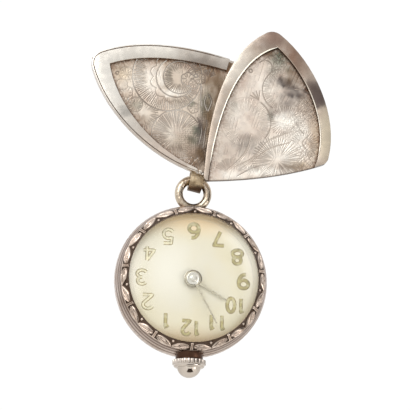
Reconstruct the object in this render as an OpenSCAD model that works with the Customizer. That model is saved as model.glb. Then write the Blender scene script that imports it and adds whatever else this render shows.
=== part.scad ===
// Chatelaine watch pin: two overlapping silver wings, a strap bail and a round pendant watch.
// Sizes are in millimetres. +X is right, +Z is up and the front faces -Y.
// The origin is the middle of the pin stem, where it goes through the cloth.

/* [Wings] */
// Thickness of each wing's plate
plate_t = 0.7; // [0.5:0.05:1]
// Height of the raised frame above the plate
frame_h = 0.9; // [0.5:0.05:1.2]
// Width of the raised frame where it is widest
frame_w = 2; // [1.5:0.05:2.5]
// Distance of the wings' common tip below the pin stem
tip_drop = 13.6; // [12:0.1:16]
// Distance of the wings' common tip left of the pin stem's middle
tip_left = 1.35; // [0:0.05:3]
// Length of the left wing's long side, from tip to apex
left_long = 30.2; // [27:0.1:33]
// Direction of the left wing's long side, counted from level
left_heading = 136.9; // [130:0.1:145]
// Length of the left wing's outer side, from apex to heel
left_outer = 27.9; // [26:0.1:29]
// Direction of the left wing's outer side
left_outer_heading = -0.8; // [-3:0.1:3]
// Length of the right wing's long side, from tip to apex
right_long = 30; // [27:0.1:33]
// Direction of the right wing's long side
right_heading = 66.7; // [62:0.1:72]
// Length of the right wing's outer side, from apex to heel
right_outer = 25.5; // [23:0.1:28]
// Direction of the right wing's outer side
right_outer_heading = -67.1; // [-72:0.1:-62]

/* [Pin] */
// Distance from the stem's axis to the back of the left wing
pin_off = 2.2; // [1.8:0.05:3]
// Diameter of the pin stem
stem_d = 0.8; // [0.6:0.05:1]
// Distance between the hinge block and the catch
pin_span = 21; // [16:0.5:24]

/* [Bail] */
// Thickness of the strap
strap_t = 0.8; // [0.5:0.05:0.9]
// Width of the strap under the wings
strap_w = 2.6; // [2:0.05:3]
// Width of the strap at its bend
bend_w = 2.3; // [1.8:0.05:2.6]
// Gap between the strap's two legs
loop_gap = 2.1; // [1.9:0.05:2.4]
// Lean of the strap, clockwise from plumb
strap_lean = 12; // [0:1:20]
// Diameter of the rivet's shank
rivet_d = 0.7; // [0.5:0.05:0.8]

/* [Watch case] */
// Radius of the case where it is widest
case_r = 13.4; // [13:0.1:15]
// Depth of the case's middle band
band_w = 5.3; // [4.6:0.1:6]
// Step from the case's widest radius in to the bezel's outer edge
bezel_step = 0.75; // [0.5:0.05:1]
// Width of the bezel, from its outer edge to the opening over the dial
bezel_w = 1.25; // [1:0.05:1.6]
// Height of the bezel above the band
bezel_h = 1.8; // [1.4:0.05:2.4]
// Height of the glass above the bezel
glass_rise = 1; // [0.6:0.05:1.6]
// Depth of the domed back
back_h = 1.4; // [1:0.1:2]
// Number of tied leaf pairs round the bezel
leaf_pairs = 11; // [8:1:13]

/* [Bow] */
// Diameter of the bow's wire
bow_wire = 1.48; // [1.2:0.02:1.6]
// Radius of the hole in the bow
bow_hole_r = 1.79; // [1.7:0.01:2.1]
// Height of the bow's foot above the case
bow_foot = 0.45; // [0.2:0.05:0.8]

/* [Dial and hands] */
// Thickness of the dial
dial_t = 0.4; // [0.3:0.05:0.6]
// Length of the hour hand
hour_len = 6.9; // [5:0.1:8]
// Length of the minute hand
minute_len = 8.9; // [7:0.1:10]
// Radius of the hour hand's hub
hour_hub = 1.55; // [1:0.05:1.8]
// Radius of the minute hand's hub
minute_hub = 1.1; // [0.7:0.05:1.3]
// Direction of the hour hand as shown
hour_at = -31; // [-180:1:180]
// Direction of the minute hand as shown
minute_at = -61; // [-180:1:180]

/* [Crown] */
// Diameter of the knurled flange
crown_d = 5.9; // [5:0.1:6.5]
// Height of the knurled flange
flange_h = 1.35; // [1:0.05:1.6]
// Diameter of the ball below the flange
ball_d = 4.3; // [3.6:0.1:4.8]
// Diameter of the collar on the case
collar_d = 4.8; // [4:0.1:5.4]
// Number of knurls
knurls = 24; // [18:1:30]
// Distance that the crown pulls out
crown_pull = 0.6; // [0.3:0.1:0.8]

/* [Hidden] */
$fn = 64;
// Steps of the shallow domes of the glass and the back, whose circles are large
DOME_FN = 720;

// Gap between soldered or seated pieces
seat = 0.02;
// Gap between pieces that turn or slide on each other
run = 0.05;

// Sides of a wing, in the order long, outer and third. Angles are between the chord and the curve,
// where it leaves and where it arrives. Widths of the frame are shares of frame_w. The frame runs
// from one share of the side to another, and past 1 it is cut off at the third side.
LEAVE = 0;
ARRIVE = 1;
WIDTH_FIRST = 2;
WIDTH_LAST = 3;
FRAME_FROM = 4;
FRAME_TO = 5;
left_sides = [
    [33.5, 36, 0.25, 1.65, 0.1, 1],
    [27.9, 17.2, 1.3, 1, 0, 0.885],
    [10, 7.5, 0, 0, 0, 0]];
right_sides = [
    [21, 46, 0.37, 1.6, 0, 1],
    [34.5, 39.5, 1, 0.9, 0, 1.06],
    [10, 7.5, 0, 0, 0, 0]];
width_power = 1.2;

// Lengths that the round corners take off each side, in the order tip, apex and heel
left_rounds = [0.8, 2.2, 0.5];
right_rounds = [0.8, 1.4, 0.9];

// Corners of the wings, seen from the front
tip_spread = [0.75, 0.45];
left_tip = [-tip_left, -tip_drop] + tip_spread;
right_tip = [-tip_left, -tip_drop] - tip_spread;
left_apex = left_tip + left_long * heading(left_heading);
left_heel = left_apex + left_outer * heading(left_outer_heading);
right_apex = right_tip + right_long * heading(right_heading);
right_heel = right_apex + right_outer * heading(right_outer_heading);

// Heights above the pin stem, towards the front
left_back = pin_off;
left_panel = left_back + plate_t;
right_back = left_panel + seat;
right_panel = right_back + plate_t;

// The strap's bend, left of the tip and below it
bend_left = 1.6;
bend_drop = 0.02;
bend_at = [-tip_left - bend_left, -tip_drop - bend_drop];
bend_r = loop_gap / 2;
bend_outer = bend_r + strap_t;
bow_plane = left_back - strap_t - bend_r;
strap_up = 5;
strap_join = 2.2;
rivet_up = 1.4;
rivet_right = 0.15;
rivet_head = 0.2;
rivet_rim = 0.15;

// The watch hangs by its bow, whose wire lies on the strap's bend with a small gap
bow_ring_r = bow_hole_r + bow_wire / 2;
hang_gap = 0.12;
bow_sag = sqrt(pow(bow_hole_r - hang_gap, 2) - pow(strap_width(-bend_r) / 2, 2));
bow_at = bend_at - (bend_r + bow_sag) * up_strap();
bow_up = case_r + bow_foot + bow_hole_r;
watch_at = [bow_at.x, bow_at.y - bow_up];

// Heights inside the watch, counted from the bow's plane towards the front
band_front = 2.4;
band_back = band_front - band_w;
swell_down = 3.15;
swell_at = band_front - swell_down;
swell_r = 7;
bezel_r = case_r - bezel_step;
opening_r = bezel_r - bezel_w;
band_rim = 0.7;
band_bore = bezel_r - band_rim;
wall = 0.5;
back_seat = 0.6;
bezel_top = band_front + bezel_h;
bezel_lip = 1;
bezel_edge = 0.3;
glass_t = 0.7;
glass_sink = 0.1;
glass_side = opening_r - run;
glass_flange = band_bore - run;
dial_drop = 0.1;
dial_top = band_front - dial_drop;
dial_gap = 0.25;
dial_r = band_bore - dial_gap;
movement_gap = 0.5;
movement_r = dial_r - movement_gap;
movement_h = 3.4;
arbor_r = 0.3;
hour_rise = 0.45;
hour_z = dial_top + hour_rise;
minute_rise = 0.4;
minute_z = hour_z + minute_rise;
hand_t = 0.15;
hand_tail = 1.2;
hour_root_w = 0.6;
hour_tip_w = 0.3;
minute_root_w = 0.42;
minute_tip_w = 0.2;
arbor_stub = 0.3;
arbor_end = minute_z + hand_t + arbor_stub;

// The bezel's slope, from its inner edge to its outer edge
slope_run = bezel_r - opening_r;
slope_fall = bezel_h - bezel_edge;
slope_len = norm([slope_run, slope_fall]);
slope = atan2(slope_fall, slope_run);

// Leaves, ties and beads on the slope. Shares are of the slope's length.
leaf_w = 1.3;
leaf_rib = 0.3;
leaf_h = 0.24;
leaf_sink = 0.12;
leaf_dip = 0.15;
leaf_gap = 0.55;
leaf_base = 0.5;
leaf_tip = 0.9;
tie_d = 0.34;
tie_pitch = 0.3;
bead_d = 0.52;
bead_share = 0.3;
rim_d = 0.34;
unit = 360 / leaf_pairs;

// The crown, counted down from the middle of the watch
collar_root = 0.3;
collar_start = band_bore + collar_root;
collar_h = 0.55;
collar_end = case_r + collar_h;
crown_gap = 0.1;
flange_top = collar_end + crown_gap;
ball_sink = 0.4;
ball_down = flange_top + flange_h - ball_sink;
stem_r = 0.5;
knurl_d = 0.45;
knurl_out = 0.05;
knurl_h = 0.8;
shoulder_round = 0.4;
bore_depth = 1.6;
stem_hold = 1.2;
stem_hole_end = movement_r - crown_pull - stem_hold;

function heading(a) = [cos(a), sin(a)];
function up_strap() = [sin(strap_lean), cos(strap_lean)];
function strap_width(h) = bend_w + (strap_w - bend_w) * (h + bend_outer) / (strap_join + bend_outer);

// A side is a cubic curve whose handles are a third of its chord
function side(a, b, row) =
    let (chord = b - a, reach = norm(chord) / 3, h = atan2(chord.y, chord.x))
    [a, a + reach * heading(h + row[LEAVE]), b - reach * heading(h - row[ARRIVE]), b];
function at(s, t) =
    pow(1 - t, 3) * s[0] + 3 * t * pow(1 - t, 2) * s[1] + 3 * t * t * (1 - t) * s[2] + pow(t, 3) * s[3];
function along(s, t) =
    let (d = pow(1 - t, 2) * (s[1] - s[0]) + 2 * t * (1 - t) * (s[2] - s[1]) + t * t * (s[3] - s[2]))
    d / norm(d);
// Point at a share t of the side and a distance w into the wing
function inset(s, t, w) = at(s, t) + w * [along(s, t).y, -along(s, t).x];
function chord_of(s) = norm(s[3] - s[0]);
function bend(p, corner, q, t) = pow(1 - t, 2) * p + 2 * t * (1 - t) * corner + t * t * q;

function wing_sides(tip, apex, heel, rows) =
    [side(tip, apex, rows[0]), side(apex, heel, rows[1]), side(heel, tip, rows[2])];

// Outline with round corners. The sides run clockwise from the tip.
SIDE_STEPS = 16;
ROUND_STEPS = 6;
function outline(sides, rounds) = [
    for (i = [0:2])
        let (s = sides[i], next = sides[(i + 1) % 3],
             first = rounds[i] / chord_of(s), last = 1 - rounds[(i + 1) % 3] / chord_of(s),
             after = rounds[(i + 1) % 3] / chord_of(next))
        each concat(
            [for (k = [0:SIDE_STEPS]) at(s, first + (last - first) * k / SIDE_STEPS)],
            [for (k = [1:ROUND_STEPS - 1]) bend(at(s, last), s[3], at(next, after), k / ROUND_STEPS)])];

function frame_width(row, t) =
    frame_w * (row[WIDTH_FIRST] + (row[WIDTH_LAST] - row[WIDTH_FIRST]) * pow(t, width_power));

// Strip along a side that the frame covers, a little past the wing's edge
EDGE_SPARE = 0.5;
function strip(s, row) =
    let (t = [for (k = [0:SIDE_STEPS]) row[FRAME_FROM] + (row[FRAME_TO] - row[FRAME_FROM]) * k / SIDE_STEPS],
         w = [for (x = t) frame_width(row, x)])
    concat([for (x = t) inset(s, x, -EDGE_SPARE)],
           [for (k = [SIDE_STEPS:-1:0]) inset(s, t[k], w[k])]);

// Everything is drawn facing the viewer and then stood up, so that its height points to the front
module facing() rotate([90, 0, 0]) children();
module raised(h) translate([0, 0, h]) children();

module frame_face(sides, rows, rounds) {
    first_w = frame_width(rows[0], rows[0][FRAME_FROM]);
    intersection() {
        polygon(outline(sides, rounds));
        union() {
            polygon(strip(sides[0], rows[0]));
            polygon(strip(sides[1], rows[1]));
            translate(inset(sides[0], rows[0][FRAME_FROM], first_w / 2)) circle(d = first_w);
        }
    }
}

module wing(sides, rows, rounds) {
    linear_extrude(plate_t) polygon(outline(sides, rounds));
    linear_extrude(plate_t + frame_h) frame_face(sides, rows, rounds);
}

module at_rivet() translate(bend_at) rotate(-strap_lean) translate([rivet_right, rivet_up, 0]) children();

module rivet_hole() {
    at_rivet() raised(bow_plane) cylinder(d = rivet_d + 2 * seat, h = right_back - bow_plane);
}

module left_wing() {
    color("silver") facing() difference() {
        raised(left_back)
            wing(wing_sides(left_tip, left_apex, left_heel, left_sides), left_sides, left_rounds);
        rivet_hole();
    }
}

module right_wing() {
    color("silver") facing() raised(right_back)
        wing(wing_sides(right_tip, right_apex, right_heel, right_sides), right_sides, right_rounds);
}

// Profile of the strap loop, seen from its side: x is towards the front and y is up
module loop_profile() {
    difference() {
        union() {
            circle(r = bend_outer);
            translate([-bend_outer, 0]) square([2 * bend_outer, strap_join]);
            polygon([[-bend_outer, strap_join], [bend_outer, strap_join], [bend_outer, strap_up],
                     [bend_r, strap_up]]);
        }
        circle(r = bend_r);
        translate([-bend_r, 0]) square([2 * bend_r, strap_join]);
        polygon([[-bend_r, strap_join], [bend_r, strap_join], [bend_r, strap_up - strap_t]]);
    }
}

module strap_face() {
    half_bend = bend_w / 2;
    half_strap = strap_w / 2;
    polygon([[-half_bend, -bend_outer], [half_bend, -bend_outer], [half_strap, strap_join],
             [half_strap, strap_up], [-half_strap, strap_up], [-half_strap, strap_join]]);
}

module bail() {
    color("darkkhaki") facing() difference() {
        translate([bend_at.x, bend_at.y, bow_plane - seat]) rotate(-strap_lean) intersection() {
            rotate([0, -90, 0]) linear_extrude(2 * strap_w, center = true) loop_profile();
            linear_extrude(4 * loop_gap, center = true) strap_face();
        }
        rivet_hole();
    }
}

module rivet() {
    shank = plate_t + strap_t + seat;
    color("gray") facing() at_rivet() raised(left_panel - shank) {
        cylinder(d = rivet_d, h = shank + rivet_head);
        raised(shank + seat) cylinder(d1 = rivet_d + rivet_rim, d2 = rivet_d, h = rivet_head);
    }
}

// Hinge block, stem and catch in one plain piece, with no joint
module pin_back() {
    block_w = 2.4;
    block_h = 3.6;
    cheek = 0.7;
    catch_w = 1.4;
    catch_r = 1.5;
    point_h = 2.2;
    point_d = 0.2;
    color("silver") facing() {
        translate([-pin_span / 2, 0, 0]) {
            cylinder_along_x(block_w, stem_d / 2 + cheek);
            translate([-block_w / 2, -block_h / 2, cheek]) cube([block_w, block_h, left_back - seat - cheek]);
        }
        translate([pin_span / 2, 0, 0]) {
            cylinder_along_x(catch_w, catch_r);
            translate([-catch_w / 2, -catch_r, 0]) cube([catch_w, 2 * catch_r, right_back - seat]);
        }
        cylinder_along_x(pin_span, stem_d / 2);
        translate([pin_span / 2 + catch_w / 2, 0, 0]) rotate([0, 90, 0])
            cylinder(d1 = stem_d, d2 = point_d, h = point_h);
    }
}

module cylinder_along_x(length, r) rotate([0, 90, 0]) cylinder(r = r, h = length, center = true);

// Places its children at the middle of the watch
module in_watch() facing() translate([watch_at.x, watch_at.y, bow_plane]) children();
module below_watch() in_watch() rotate([90, 0, 0]) children();

// Outer form of the band, with a round swell
module band_face(grow = 0) {
    intersection() {
        translate([0, band_back]) square([case_r + grow, band_w]);
        translate([case_r + grow - swell_r, swell_at]) circle(r = swell_r);
    }
}

module case_band() {
    color("silver") difference() {
        union() {
            in_watch() rotate_extrude() difference() {
                union() {
                    band_face();
                    translate([0, band_back]) square([case_r - swell_r, band_w]);
                }
                translate([0, band_back - 1]) square([band_bore, band_w + 2]);
            }
            below_watch() raised(collar_start) cylinder(d = collar_d, h = collar_end - collar_start);
        }
        below_watch() raised(band_bore - 1) cylinder(r = stem_r + run, h = collar_end - band_bore + 2);
        in_watch() raised(band_front) cylinder(r = collar_end + 1, h = collar_d);
    }
}

module bow() {
    color("darkkhaki") in_watch() difference() {
        translate([0, bow_up, 0]) rotate_extrude() translate([bow_ring_r, 0]) circle(d = bow_wire);
        rotate_extrude() band_face(seat);
    }
}

module case_back() {
    back_r = case_r - back_seat;
    dome_r = (pow(back_r, 2) + pow(back_h, 2)) / (2 * back_h);
    color("silver") in_watch() raised(band_back - seat) rotate_extrude() difference() {
        intersection() {
            translate([0, -back_h]) square([back_r, back_h]);
            translate([0, dome_r - back_h]) circle(r = dome_r, $fn = DOME_FN);
        }
        intersection() {
            translate([-1, -back_h]) square([back_r - back_seat + 1, back_h + 1]);
            translate([0, dome_r - back_h]) circle(r = dome_r - wall, $fn = DOME_FN);
        }
    }
}

// Lays its children on the bezel's slope, at an angle and a distance from its inner edge
module on_slope(angle, down) {
    rotate(angle) translate([opening_r + down * cos(slope), 0, bezel_top - down * sin(slope)])
        rotate([0, slope, 0]) children();
}

module lens(length, width) {
    r = (pow(length, 2) + pow(width, 2)) / (4 * width);
    intersection() {
        translate([0, width / 2 - r]) circle(r = r);
        translate([0, r - width / 2]) circle(r = r);
    }
}

// One leaf, from beside the tie to the outer edge midway between two ties
module leaf(way) {
    mid_r = opening_r + slope_run / 2;
    reach = mid_r * unit / 2 * PI / 180 - leaf_gap;
    drop = (leaf_tip - leaf_base) * slope_len;
    length = norm([reach, drop]);
    share = (leaf_base + leaf_tip) / 2;
    middle = way * (leaf_gap + reach / 2) / mid_r * 180 / PI;
    on_slope(middle, share * slope_len) rotate(way * atan2(-drop, reach) + 90) difference() {
        raised(-leaf_sink) linear_extrude(leaf_sink + leaf_h) lens(length, leaf_w);
        raised(leaf_h - leaf_dip) linear_extrude(leaf_h) lens(length - 3 * leaf_rib, leaf_w - 2 * leaf_rib);
    }
}

module tie() {
    for (way = [-1, 1])
        on_slope(way * tie_pitch / 2 / opening_r * 180 / PI, 0.12 * slope_len)
            rotate([0, 90, 0]) cylinder(d = tie_d, h = 0.8 * slope_len);
}

module bezel() {
    color("gray") in_watch() union() {
        rotate_extrude() {
            polygon([[opening_r, bezel_top], [bezel_r, bezel_top - slope_fall], [bezel_r, band_front + seat],
                     [band_bore, band_front + seat], [band_bore, bezel_top - bezel_lip],
                     [opening_r, bezel_top - bezel_lip]]);
            translate([bezel_r - rim_d / 4, bezel_top - slope_fall]) circle(d = rim_d);
        }
        for (i = [0:leaf_pairs - 1]) rotate(i * unit - 90) {
            tie();
            leaf(1);
            leaf(-1);
            on_slope(unit / 2, bead_share * slope_len) sphere(d = bead_d, $fn = 24);
        }
    }
}

module crystal() {
    top = bezel_top + glass_rise;
    low = bezel_top - glass_sink;
    dome_r = (pow(glass_side, 2) + pow(top - low, 2)) / (2 * (top - low));
    foot = band_front + seat;
    color("azure", 0.4) in_watch() rotate_extrude() difference() {
        union() {
            intersection() {
                translate([0, top - dome_r]) circle(r = dome_r, $fn = DOME_FN);
                translate([0, foot]) square([glass_side, top - foot]);
            }
            translate([0, foot]) square([glass_flange, bezel_top - bezel_lip - seat - foot]);
        }
        intersection() {
            translate([0, top - dome_r]) circle(r = dome_r - glass_t, $fn = DOME_FN);
            translate([-1, foot - 1]) square([glass_side - glass_t + 1, top - foot + 1]);
        }
    }
}

module dial() {
    color("ivory") in_watch() raised(dial_top - dial_t) difference() {
        cylinder(r = dial_r, h = dial_t);
        raised(-dial_t) cylinder(r = 2 * arbor_r, h = 3 * dial_t);
    }
}

module movement() {
    under = dial_top - dial_t - seat;
    color("goldenrod") in_watch() difference() {
        union() {
            raised(under - movement_h) cylinder(r = movement_r, h = movement_h);
            raised(under) cylinder(r = arbor_r, h = arbor_end - under);
        }
        rotate([90, 0, 0]) raised(stem_hole_end) cylinder(r = stem_r + run, h = movement_r);
    }
}

// A flat tapered hand with a round hub, bored for the arbor
module hand(length, root_w, tip_w, hub_r, at_angle) {
    rotate(at_angle) difference() {
        union() {
            cylinder(r = hub_r, h = hand_t);
            linear_extrude(hand_t) polygon([[-hand_tail, -root_w / 2], [length, -tip_w / 2],
                                            [length, tip_w / 2], [-hand_tail, root_w / 2]]);
        }
        raised(-hand_t) cylinder(r = arbor_r + run, h = 3 * hand_t);
    }
}

module hour_hand() {
    color("gray") in_watch() raised(hour_z)
        hand(hour_len, hour_root_w, hour_tip_w, hour_hub, hour_at);
}

module minute_hand() {
    color("gray") in_watch() raised(minute_z)
        hand(minute_len, minute_root_w, minute_tip_w, minute_hub, minute_at);
}

module crown_stem() {
    start = stem_hole_end + 2 * run;
    color("gray") below_watch() raised(start)
        cylinder(r = stem_r, h = flange_top + bore_depth - 2 * run - start);
}

// Knurled flange, its round shoulder and the ball: x is the radius and y is down from the flange's top
module crown_profile() {
    shoulder_r = (crown_d - knurl_d) / 2;
    square([crown_d / 2, knurl_h]);
    square([shoulder_r, flange_h - shoulder_round]);
    square([shoulder_r - shoulder_round, flange_h]);
    translate([shoulder_r - shoulder_round, flange_h - shoulder_round]) circle(r = shoulder_round);
    intersection() {
        translate([0, ball_down - flange_top]) circle(d = ball_d);
        square(ball_d + flange_h);
    }
}

module crown() {
    color("gainsboro") below_watch() difference() {
        raised(flange_top) rotate_extrude() crown_profile();
        for (i = [0:knurls - 1]) rotate(i * 360 / knurls)
            translate([crown_d / 2 + knurl_out, 0, flange_top - 1]) cylinder(d = knurl_d, h = flange_h + 2);
        raised(flange_top - 1) cylinder(r = stem_r + run, h = bore_depth + 1);
    }
}

left_wing();
right_wing();
rivet();
bail();
pin_back();
case_band();
bow();
case_back();
bezel();
crystal();
dial();
movement();
hour_hand();
minute_hand();
crown_stem();
crown();
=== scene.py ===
"""Chatelaine watch pin: engraved, tarnished silver wings and a round pendant watch.

Lengths are in millimetres up to the point where a mesh is made. Points on the wings are (x, z) as
seen from the front; heights are counted from the pin stem towards the viewer, which is -Y.
"""
import math

import bmesh
import bpy
import numpy as np
from mathutils import Matrix, Vector


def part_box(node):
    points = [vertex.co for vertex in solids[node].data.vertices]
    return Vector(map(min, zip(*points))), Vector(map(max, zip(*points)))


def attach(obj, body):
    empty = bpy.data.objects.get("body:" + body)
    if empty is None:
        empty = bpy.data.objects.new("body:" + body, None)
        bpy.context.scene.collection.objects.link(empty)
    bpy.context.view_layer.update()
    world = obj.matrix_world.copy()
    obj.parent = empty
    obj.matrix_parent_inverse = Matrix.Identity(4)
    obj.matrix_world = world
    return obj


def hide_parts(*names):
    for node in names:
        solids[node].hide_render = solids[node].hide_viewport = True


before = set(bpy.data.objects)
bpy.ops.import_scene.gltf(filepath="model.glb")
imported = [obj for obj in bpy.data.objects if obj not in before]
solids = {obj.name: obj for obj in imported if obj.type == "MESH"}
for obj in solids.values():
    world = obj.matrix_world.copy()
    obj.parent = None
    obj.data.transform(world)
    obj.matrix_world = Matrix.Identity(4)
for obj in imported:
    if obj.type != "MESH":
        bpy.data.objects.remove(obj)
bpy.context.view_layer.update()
MM = 0.001

# Heights of the wings' panels, and the plane of the bow
LEFT_PANEL = 2.9
RIGHT_PANEL = 3.62
BOW_PLANE = 0.35

# The watch
CASE_R = 13.4
BAND_FRONT = 2.4
BAND_BACK = -2.9
BAND_BORE = 11.95
SWELL_AT = -0.75
SWELL_R = 7.0
OPENING_R = 11.4
BEZEL_R = 12.65
BEZEL_TOP = 4.2
BEZEL_FALL = 1.5
BEZEL_LIP = 1.0
SEAT = 0.02
DIAL_TOP = 2.3
LEAF_PAIRS = 11
COLLAR_END = 13.95
COLLAR_R = 2.4


def box_mm(node):
    low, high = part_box(node)
    return np.array(low) / MM, np.array(high) / MM


# The dial's middle, as x and z
WATCH = np.mean(box_mm("dial"), axis=0)[[0, 2]]


def srgb(colour, dim=1):
    """Linear colour from values of 0 to 255."""
    out = []
    for c in colour:
        c /= 255
        out.append(dim * (c / 12.92 if c <= 0.04045 else ((c + 0.055) / 1.055) ** 2.4))
    return (*out, 1)


def step(low, high, v):
    t = np.clip((v - low) / (high - low), 0, 1)
    return t * t * (3 - 2 * t)


# Meshes

WELD = 1e-6
FLAT = math.radians(0.5)
SHARP = math.radians(30)
BEVEL_STEPS = 3


def added(name, data):
    obj = bpy.data.objects.new(name, data)
    bpy.context.scene.collection.objects.link(obj)
    return obj


def shade(mesh, degrees):
    mesh.shade_smooth()
    mesh.set_sharp_from_angle(angle=math.radians(degrees))


def mesh_piece(name, body, co, quads, values=None, smooth=True):
    """A piece from points in millimetres and faces of four corners, with point values by name."""
    co = np.asarray(co, float)
    quads = np.asarray(quads, int)
    mesh = bpy.data.meshes.new(name)
    mesh.vertices.add(len(co))
    mesh.vertices.foreach_set("co", (co * MM).astype(np.float32).ravel())
    mesh.loops.add(quads.size)
    mesh.loops.foreach_set("vertex_index", quads.astype(np.int32).ravel())
    mesh.polygons.add(len(quads))
    mesh.polygons.foreach_set("loop_start", np.arange(0, quads.size, 4, dtype=np.int32))
    mesh.update(calc_edges=True)
    for key, column in (values or {}).items():
        layer = mesh.attributes.new(key, "FLOAT", "POINT")
        layer.data.foreach_set("value", np.asarray(column, np.float32))
    mesh.validate()
    obj = added(name, mesh)
    if smooth:
        shade(mesh, 50)
    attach(obj, body)
    return obj


def dressed(node, name, body, edge):
    """A copy of a solid with its edges rounded, which stands for it."""
    bm = bmesh.new()
    bm.from_mesh(solids[node].data)
    bmesh.ops.remove_doubles(bm, verts=bm.verts, dist=WELD)
    bmesh.ops.dissolve_limit(bm, angle_limit=FLAT, verts=bm.verts, edges=bm.edges)
    edges = [e for e in bm.edges if len(e.link_faces) == 2 and e.calc_face_angle(0) > SHARP]
    bmesh.ops.bevel(bm, geom=edges, offset=edge * MM, segments=BEVEL_STEPS, profile=0.5,
                    affect="EDGES", clamp_overlap=True)
    bmesh.ops.triangulate(bm, faces=[f for f in bm.faces if len(f.verts) > 4])
    mesh = bpy.data.meshes.new(name)
    bm.to_mesh(mesh)
    bm.free()
    # 0 on faces that look to the front or back, 1 on the sides
    flank = mesh.attributes.new("flank", "FLOAT", "FACE")
    flank.data.foreach_set("value", [step(0.995, 0.9, abs(f.normal.y)) for f in mesh.polygons])
    shade(mesh, 35)
    obj = added(name, mesh)
    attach(obj, body)
    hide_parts(node)
    return obj


def watch_point(x, up, height):
    """Points of the watch, from its middle and the bow's plane, in millimetres of the frame."""
    return np.stack([WATCH[0] + x, -(BOW_PLANE + height), WATCH[1] + up], axis=-1)


def grid_faces(rows, columns, round_rows=False, round_columns=False):
    """Faces of a grid of points, which may close round its rows or its columns."""
    i, j = np.meshgrid(np.arange(rows if round_rows else rows - 1),
                       np.arange(columns if round_columns else columns - 1), indexing="ij")
    i2, j2 = (i + 1) % rows, (j + 1) % columns
    corners = [i * columns + j, i * columns + j2, i2 * columns + j2, i2 * columns + j]
    return np.stack(corners, axis=-1).reshape(-1, 4)


def turns(profile, steps):
    """The angle and the profile's index of each point of a turned form."""
    angle = np.linspace(0, 2 * math.pi, steps, endpoint=False)
    return np.meshgrid(angle, np.arange(len(profile)), indexing="ij")


def turned(profile, steps, lift):
    """A closed profile of (radius, height, normal) turned about the watch's axis.

    lift(angle, index) gives how far each point stands out along its normal. The points, their
    faces, that lift and the index come back.
    """
    profile = np.asarray(profile, float)
    a, k = turns(profile, steps)
    out = lift(a, k)
    r = profile[k, 0] + out * profile[k, 2]
    h = profile[k, 1] + out * profile[k, 3]
    co = watch_point(r * np.cos(a), r * np.sin(a), h).reshape(-1, 3)
    return co, grid_faces(steps, len(profile), True, True), out.ravel(), k.ravel()


def lathe(name, body, profile, steps=96, down=False):
    """A piece turned about the dial's axis from (radius, height).

    With down, it turns about the crown's axis, from (radius, distance below the watch's middle).
    """
    profile = np.asarray(profile, float)
    a, k = turns(profile, steps)
    r, far = profile[k, 0], profile[k, 1]
    c, s = r * np.cos(a), r * np.sin(a)
    co = watch_point(c, -far, s) if down else watch_point(c, s, far)
    faces = grid_faces(steps, len(profile), round_rows=True)
    return mesh_piece(name, body, co.reshape(-1, 3), faces[:, ::-1] if down else faces)


# Wings: sides as cubic curves, in the order long, outer and third

def heading(angle):
    return np.array([math.cos(math.radians(angle)), math.sin(math.radians(angle))])


def side(a, b, leave, arrive):
    """Cubic curve that leaves a and arrives at b at angles to the chord."""
    chord = b - a
    reach = np.linalg.norm(chord) / 3
    h = math.degrees(math.atan2(chord[1], chord[0]))
    return np.array([a, a + reach * heading(h + leave), b - reach * heading(h - arrive), b])


def along(s, t):
    """Points of a side at shares of its way."""
    t = np.asarray(t, float)[:, None]
    return (1 - t) ** 3 * s[0] + 3 * t * (1 - t) ** 2 * s[1] + 3 * t * t * (1 - t) * s[2] + t ** 3 * s[3]


def rightwards(d):
    """Unit steps to the right of directions."""
    d = d / np.linalg.norm(d, axis=1)[:, None]
    return np.stack([d[:, 1], -d[:, 0]], axis=1)


def inset(s, t, w):
    """Points of a side at shares of its way, moved inwards by w."""
    c = t[:, None]
    d = (1 - c) ** 2 * (s[1] - s[0]) + 2 * c * (1 - c) * (s[2] - s[1]) + c * c * (s[3] - s[2])
    return along(s, t) + rightwards(d) * w[:, None]


FRAME_W = 2.0
WIDTH_POWER = 1.2
CURVE_POINTS = 49
TINY = 1e-12


class Wing:
    """Outline and frame of one wing, from its tip, its chords and a table of its sides.

    Rows are (leave, arrive, first width, last width, frame from, frame to).
    """

    def __init__(self, tip, chords, rows, panel):
        apex = tip + chords[0][0] * heading(chords[0][1])
        heel = apex + chords[1][0] * heading(chords[1][1])
        corners = [tip, apex, heel, tip]
        self.sides = [side(corners[i], corners[i + 1], rows[i][0], rows[i][1]) for i in range(3)]
        self.panel = panel
        t = np.linspace(0, 1, CURVE_POINTS)
        self.curves = [along(s, t) for s in self.sides]
        self.outline = np.concatenate([c[:-1] for c in self.curves])
        self.inner = []
        for s, (_, _, width, last_width, start, end) in zip(self.sides[:2], rows[:2]):
            u = np.linspace(start, end, CURVE_POINTS)
            share = width + (last_width - width) * u ** WIDTH_POWER
            self.inner.append(inset(s, u, FRAME_W * share))


left = Wing(np.array([-0.6, -13.15]), [(30.2, 136.9), (27.9, -0.8)],
            [(33.5, 36, 0.25, 1.65, 0.1, 1), (27.9, 17.2, 1.3, 1, 0, 0.885), (10, 7.5, 0, 0, 0, 0)],
            LEFT_PANEL)
right = Wing(np.array([-2.1, -14.05]), [(30, 66.7), (25.5, -67.1)],
             [(21, 46, 0.37, 1.6, 0, 1), (34.5, 39.5, 1, 0.9, 0, 1.06), (10, 7.5, 0, 0, 0, 0)],
             RIGHT_PANEL)


def nearest(p, line):
    """Distance of each point to a polyline, and the nearest point on it."""
    best = np.full(len(p), np.inf)
    foot = np.zeros((len(p), 2))
    for a, b in zip(line[:-1], line[1:]):
        d = b - a
        t = np.clip(((p - a) @ d) / max(d @ d, TINY), 0, 1)
        q = a + t[:, None] * d
        r = np.linalg.norm(p - q, axis=1)
        closer = r < best
        best[closer] = r[closer]
        foot[closer] = q[closer]
    return best, foot


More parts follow.
